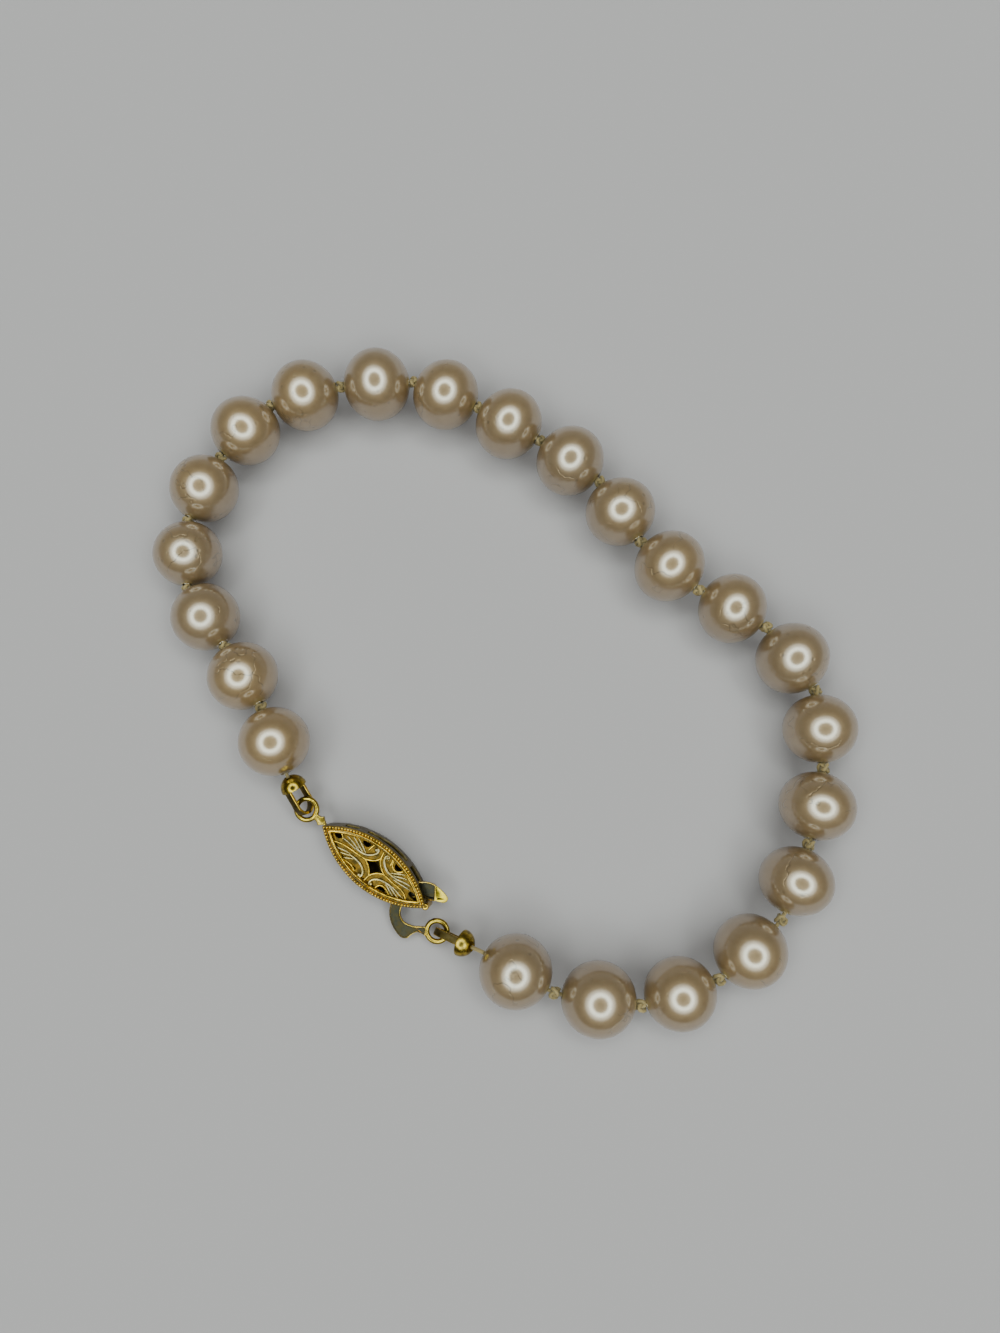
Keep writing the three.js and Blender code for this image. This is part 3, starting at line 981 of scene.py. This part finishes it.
# %% Ridges
GOLD_RIDGES = [
    (0.11, [(-1.05, 0.0), (-0.42, 0.22), (-0.05, 0.55), (0.08, 0.92)]),
    (0.11, [(0.08, 0.92), (0.22, 0.55), (0.50, 0.25), (1.15, -0.05)]),
    (0.11, [(1.15, -0.05), (0.50, -0.33), (0.25, -0.60), (0.10, -1.02)]),
    (0.11, [(0.10, -1.02), (-0.05, -0.62), (-0.42, -0.28), (-1.05, 0.0)]),
    (0.10, [(-1.0, 0.0), (-2.0, -0.12), (-3.2, -0.10), (-4.0, -0.35), (-4.5, -0.60)]),
    (0.10, [(1.1, -0.05), (2.2, -0.20), (3.1, -0.10), (3.75, -0.30), (4.2, -0.85)]),
    (0.11, [(0.08, 0.9), (-0.02, 1.2), (-0.04, 1.8)]),
    (0.11, [(0.10, -1.0), (0.02, -1.3), (0.0, -1.8)]),
    (0.10, [(-0.05, 1.75), (-0.5, 1.88), (-1.0, 1.75), (-1.2, 1.35), (-1.25, 0.85)]),
    (0.10, [(0.0, 1.75), (0.5, 1.90), (0.95, 1.72), (1.1, 1.35), (1.12, 0.95)]),
    (0.10, [(1.12, 1.75), (1.16, 1.1), (1.5, 0.75), (2.1, 0.80), (2.5, 1.4)]),
    (0.09, [(0.0, -1.8), (-0.5, -1.95), (-0.95, -1.8), (-1.2, -1.5)]),
    (0.09, [(0.0, -1.8), (0.5, -1.92), (1.0, -1.75), (1.25, -1.5)]),
    (0.09, [(1.2, -1.6), (1.25, -1.0), (1.8, -0.85), (2.4, -1.1), (2.9, -1.4)]),
    (0.09, [(-4.9, 0.05), (-4.4, 0.70), (-3.9, 0.55), (-3.75, 0.15)]),
    (0.09, [(-1.1, -1.6), (-1.6, -1.05), (-2.3, -1.15), (-2.9, -1.45)]),
]
SCROLLS = [
    (0.15, [(-0.78, 1.30), (-0.60, 1.52), (-0.38, 1.28), (-0.55, 0.88), (-1.0, 0.42),
            (-1.55, 0.22), (-2.3, 0.25)]),
    (0.15, [(0.70, 1.22), (0.70, 1.50), (0.35, 1.52), (0.30, 1.10), (0.62, 0.72),
            (1.10, 0.35), (1.7, 0.25), (2.5, 0.35)]),
    (0.15, [(-0.78, -1.40), (-0.60, -1.68), (-0.36, -1.45), (-0.50, -1.02), (-0.95, -0.66),
            (-1.6, -0.50), (-2.4, -0.55)]),
    (0.15, [(0.82, -1.40), (0.72, -1.66), (0.46, -1.52), (0.50, -1.10), (0.92, -0.72),
            (1.55, -0.50), (2.4, -0.50)]),
]
LEAVES = [
    (0.12, [(-1.35, 0.45), (-1.8, 0.75), (-2.35, 0.98), (-2.65, 1.12)]),
    (0.12, [(-1.5, 0.32), (-2.2, 0.58), (-2.75, 0.86), (-3.05, 0.92)]),
    (0.12, [(-1.7, 0.24), (-2.6, 0.42), (-3.2, 0.65), (-3.55, 0.62)]),
    (0.10, [(-2.0, 0.14), (-2.9, 0.20), (-3.4, 0.30), (-3.8, 0.22)]),
    (0.12, [(1.55, 0.42), (2.0, 0.68), (2.4, 1.00), (2.75, 1.10)]),
    (0.12, [(1.7, 0.32), (2.3, 0.52), (2.8, 0.86), (3.2, 0.88)]),
    (0.12, [(1.9, 0.24), (2.7, 0.36), (3.2, 0.62), (3.65, 0.58)]),
    (0.10, [(2.1, 0.12), (2.9, 0.12), (3.5, 0.30), (3.9, 0.28)]),
    (0.12, [(-1.7, -0.58), (-2.2, -0.78), (-2.55, -1.08), (-2.8, -1.15)]),
    (0.12, [(-2.0, -0.54), (-2.6, -0.66), (-3.1, -0.94), (-3.4, -0.98)]),
    (0.12, [(-2.3, -0.48), (-3.0, -0.50), (-3.5, -0.74), (-3.85, -0.76)]),
    (0.12, [(1.6, -0.60), (2.2, -0.76), (2.7, -1.08), (3.0, -1.12)]),
    (0.12, [(1.9, -0.55), (2.6, -0.64), (3.1, -0.92), (3.4, -0.94)]),
    (0.12, [(2.2, -0.48), (2.9, -0.48), (3.4, -0.70), (3.8, -0.70)]),
]
BALLS = [(-0.70, 1.28), (0.55, 1.32), (-0.66, -1.46), (0.70, -1.44)]


def ridge_paths(drawn, level, taper):
    paths = []
    for half_width, line in drawn:
        last = len(line) - 1
        path = []
        for k, (u, v) in enumerate(line):
            shrink = 1 - taper * abs(2 * k / last - 1) ** 3
            path.append(((u, v, level), half_width * shrink, 0.0))
        paths.append(path)
    return paths


def make_ridges(name, drawn, level, taper):
    ridges = path_curve(name, ridge_paths(drawn, level, taper), kind="NURBS")
    face_out(ridges)
    return ridges


BORDER_RADIUS = 0.16
BORDER_LEVEL = 0.97


def make_border():
    """A polished half-round round the filigree, which catches the light on every side."""
    track = oval_outline(10.25, 3.5, 60)
    track.append(track[0])
    path = []
    for u, v in track:
        swell = turns.uniform(0.9, 1.0)
        path.append(((u, v, BORDER_LEVEL), BORDER_RADIUS * swell, 0.0))
    border = path_curve("clasp_border", [path])
    face_out(border)
    return border


border = make_border()
gold_ridges = make_ridges("gold_ridges", GOLD_RIDGES, PLATE_TOP + 0.04, 0.2)
scrolls = make_ridges("scrolls", SCROLLS, PLATE_TOP + 0.05, 0.35)
leaves = make_ridges("leaves", LEAVES, PLATE_TOP + 0.02, 0.6)
balls = []
for u, v in BALLS:
    bpy.ops.mesh.primitive_uv_sphere_add(
        segments=20, ring_count=12, radius=0.19, location=(u, v, PLATE_TOP + 0.08)
    )
    ball = named("scroll_ball")
    bpy.ops.object.transform_apply(location=True, rotation=True, scale=True)
    bpy.ops.object.shade_smooth()
    balls.append(ball)
silvery = join([scrolls, leaves, *balls], "worn_scrolls")
print("ridges:", len(GOLD_RIDGES), "scrolls:", len(SCROLLS), "leaves:", len(LEAVES))

# %% [markdown]
# ## Ring eye and post
#
# A wire ring carries the first bead tip. It is soldered to the box's point with a small
# four-pointed pad. At the other point a rivet stands, which the hook passes behind.

# %% Ring eye, pad and rivet
NECK_PAD = [
    (-5.75, 0.0),
    (-6.25, 0.22, -6.45, 0.50),
    (-6.65, 0.18, -7.15, 0.30),
    (-7.05, 0.0, -7.15, -0.30),
    (-6.65, -0.18, -6.45, -0.50),
    (-6.25, -0.22, -5.75, 0.0),
]


def make_ring_eye():
    bpy.ops.mesh.primitive_torus_add(
        major_radius=0.96, minor_radius=0.24, major_segments=64, minor_segments=20
    )
    ring = named("ring_eye")
    bpy.ops.transform.translate(value=BOX_RING)
    bpy.ops.object.transform_apply(location=True, rotation=True, scale=True)
    bpy.ops.object.shade_smooth()
    pad = smooth_by_angle(sheet("neck_pad", smooth_outline(NECK_PAD), -0.24, 0.24, 0.07))
    return join([ring, pad], "ring_eye")


def make_rivet():
    bpy.ops.mesh.primitive_cylinder_add(vertices=32, radius=0.3, depth=2.1, location=(5.8, 0, -0.1))
    rivet = named("rivet")
    bpy.ops.object.transform_apply(location=True, rotation=True, scale=True)
    finish_with(rivet, "BEVEL", width=0.12, segments=4, limit_method="ANGLE", angle_limit=0.9)
    return smooth_by_angle(rivet)


ring_eye = make_ring_eye()
rivet = make_rivet()
print("ring eye and rivet faces:", len(ring_eye.data.polygons), len(rivet.data.polygons))

# %% Put the box in its place
# The rim's outer wall and the seat between the beads take the darker copy, painted shade chosen by the way
# their faces point; its ridge and slope are bright.
finishes_and_shade_by_facing(rim, painted_shade_gilt, bright_gilt, lambda normal: normal.z > 0.93 or normal.z < 0.2)
# The tray takes the darker copy of the gold as painted shade on the box's sides; the plate takes the dark
# copy, tarnish and painted shade of the recess.
for part, finish in (
    (tray, painted_shade_gilt),
    (border, bright_gilt),
    (rim, None),
    (beading, bright_gilt),
    (plate, tarnish_and_shade_gilt),
    (gold_ridges, bright_gilt),
    (silvery, worn_ridge),
    (ring_eye, cup_gilt),
    (rivet, bright_gilt),
):
    apply_place(part, clasp_place)
    hand_over(part, finish, "gilt", "clasp_box")

# %% [markdown]
# ## Hook
#
# The real hook is cut from flat sheet. Its face is scuffed down to the grey metal and is painted
# near black as well, a painted dark reflection, while its edges stand a hair above the face and
# have stayed golden. It goes in at the lower side of the box, passes behind the rivet and comes
# out above as a tab for the thumb, bent up a little.

# %% Hook sheet, ring and thumb tab
HOOK_HALF = 0.22
HOOK_OUTLINE = [
    (6.90, -1.60),
    (7.35, -2.25),
    (6.80, -2.30, 6.55, -2.45),
    (6.25, -2.80, 6.20, -3.35),
    (5.90, -3.85, 5.30, -3.70),
    (4.00, -3.40, 3.40, -2.50),
    (2.80, -1.50, 2.90, -0.40),
    (3.10, 0.80, 4.20, 1.35),
    (4.70, 1.85, 5.40, 1.90),
    (6.20, 0.80),
    (5.90, 0.55, 5.50, 0.45),
    (4.20, 0.35, 4.05, -1.20),
    (4.10, -2.40, 5.10, -2.50),
    (5.90, -2.40, 6.35, -1.98),
]
TAB_OUTLINE = [
    (6.12, 0.78),
    (5.33, 1.89),
    (6.30, 1.90, 6.90, 1.65),
    (7.15, 1.35, 6.90, 1.10),
    (6.50, 0.85, 6.12, 0.78),
]
TAB_ROOT = Vector((5.4, 1.9, 0))
TAB_AXIS = Vector((0.8, -1.1, 0)).normalized()


def raised_edge(part, edge_width, depth):
    """Insets the upper face and sinks it a little, which leaves a rim."""
    pick(part, faces=lambda f: f.normal.z > 0.99 and f.area > 0.3)
    bpy.ops.mesh.inset(thickness=edge_width)
    bpy.ops.mesh.inset(thickness=0.03, depth=-depth)
    object_mode()


def make_hook():
    body = sheet("hook_sheet", smooth_outline(HOOK_OUTLINE, 8), -HOOK_HALF, HOOK_HALF, 0.05)
    raised_edge(body, 0.08, 0.03)
    tab = sheet("thumb_tab", smooth_outline(TAB_OUTLINE, 6)[:-1], -HOOK_HALF, HOOK_HALF, 0.05)
    lift = Matrix.Translation(TAB_ROOT) @ Matrix.Rotation(math.radians(-16), 4, TAB_AXIS)
    apply_place(tab, lift @ Matrix.Translation(-TAB_ROOT))
    bpy.ops.mesh.primitive_torus_add(
        major_radius=0.925, minor_radius=0.245, major_segments=64, minor_segments=20
    )
    ring = named("hook_ring")
    bpy.ops.transform.resize(value=(1, 1, 0.88))
    bpy.ops.transform.translate(value=HOOK_RING)
    bpy.ops.object.transform_apply(location=True, rotation=True, scale=True)
    bpy.ops.object.shade_smooth()
    return smooth_by_angle(body), smooth_by_angle(tab), ring


hook_sheet, thumb_tab, hook_ring = make_hook()
# The face takes the worn grey painted near black as a painted dark reflection; the raised edges take the
# bright gold.
finishes_and_shade_by_facing(hook_sheet, worn_face_and_dark_reflection, bright_gilt, lambda normal: abs(normal.z) > 0.97)
for part, finish in ((hook_sheet, None), (thumb_tab, polished_gilt), (hook_ring, cup_gilt)):
    apply_place(part, clasp_place)
    hand_over(part, finish, "worn_gilt", "clasp_hook")

# %% [markdown]
# ## Bead tips
#
# A bead tip is a cup pressed from sheet, with a hole for the silk in its bottom. The knot sits
# in the cup and cannot slip back. A flat strip runs from the cup's rim through the ring eye and
# is bent back to the cup. The cup is half a ball, thickened inward; the strip is one edge pulled
# straight, spun round the bend and pulled straight again.

# %% Cup and strip
CUP_RADIUS, CUP_WALL, CUP_HOLE = 1.2, 0.2, 0.36
LOOP_HALF, LOOP_THICK, STRIP_WIDTH = 1.1, 0.26, 0.68
STRIP_ROOT = 0.85


def make_cup(name):
    bpy.ops.mesh.primitive_uv_sphere_add(segments=48, ring_count=32, radius=CUP_RADIUS)
    cup = named(name)
    hole_height = -math.sqrt(CUP_RADIUS ** 2 - CUP_HOLE ** 2)
    for height, side in ((0.05, 1), (hole_height, -1)):
        pick_all(cup)
        bpy.ops.mesh.bisect(plane_co=(0, 0, height), plane_no=(0, 0, side), clear_outer=True)
        object_mode()
    face_out(cup)
    finish_with(cup, "SOLIDIFY", thickness=CUP_WALL, offset=-1)
    finish_with(cup, "BEVEL", width=0.05, segments=3, limit_method="ANGLE", angle_limit=0.9)
    upright = Matrix.Translation((0, CUP_RADIUS, 0)) @ Matrix.Rotation(math.radians(-90), 4, "X")
    apply_place(cup, upright)
    return smooth_by_angle(cup)


def make_strip(name):
    bend_y = LOOP_END - LOOP_HALF
    bpy.ops.mesh.primitive_plane_add(size=STRIP_WIDTH, rotation=(0, math.radians(90), 0))
    strip = named(name)
    bpy.ops.object.transform_apply(location=True, rotation=True, scale=True)
    pick(strip, edges=lambda a, b: a.y < 0 and b.y < 0)
    bpy.ops.mesh.delete(type="VERT")
    object_mode()
    for corner in strip.data.vertices:
        corner.co = (LOOP_HALF, STRIP_ROOT, corner.co.z)
    pick_all(strip)
    for _ in range(4):
        pull = (bend_y - STRIP_ROOT) / 4
        bpy.ops.mesh.extrude_region_move(TRANSFORM_OT_translate={"value": (0, pull, 0)})
    bpy.ops.mesh.spin(
        steps=24, angle=math.radians(-180), center=(0, bend_y, 0), axis=(0, 0, 1)
    )
    for _ in range(4):
        pull = (STRIP_ROOT - bend_y) / 4
        bpy.ops.mesh.extrude_region_move(TRANSFORM_OT_translate={"value": (0, pull, 0)})
    object_mode()
    face_out(strip)
    finish_with(strip, "SOLIDIFY", thickness=LOOP_THICK, offset=-1)
    finish_with(strip, "BEVEL", width=0.06, segments=3, limit_method="ANGLE", angle_limit=0.9)
    return smooth_by_angle(strip)


for number, place in ((1, place_1), (2, place_2)):
    node = "bead_tip_%d" % number
    cup = make_cup(node + "_cup")
    strip = make_strip(node + "_strip")
    # The strip's broad faces take the darker copy as painted shade; its narrow edges take the bright gold.
    finishes_and_shade_by_facing(strip, painted_shade_gilt, bright_gilt, lambda normal: abs(normal.z) < 0.2)
    for part, finish in ((cup, cup_gilt), (strip, None)):
        apply_place(part, place)
        hand_over(part, finish, "gilt", node)

# %% Close the lesson
size = {
    "cad": [list(cad_low), list(cad_high)],
    "visual": [list(corner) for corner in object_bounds()],
}
print("box of the finished bracelet:", size["visual"])
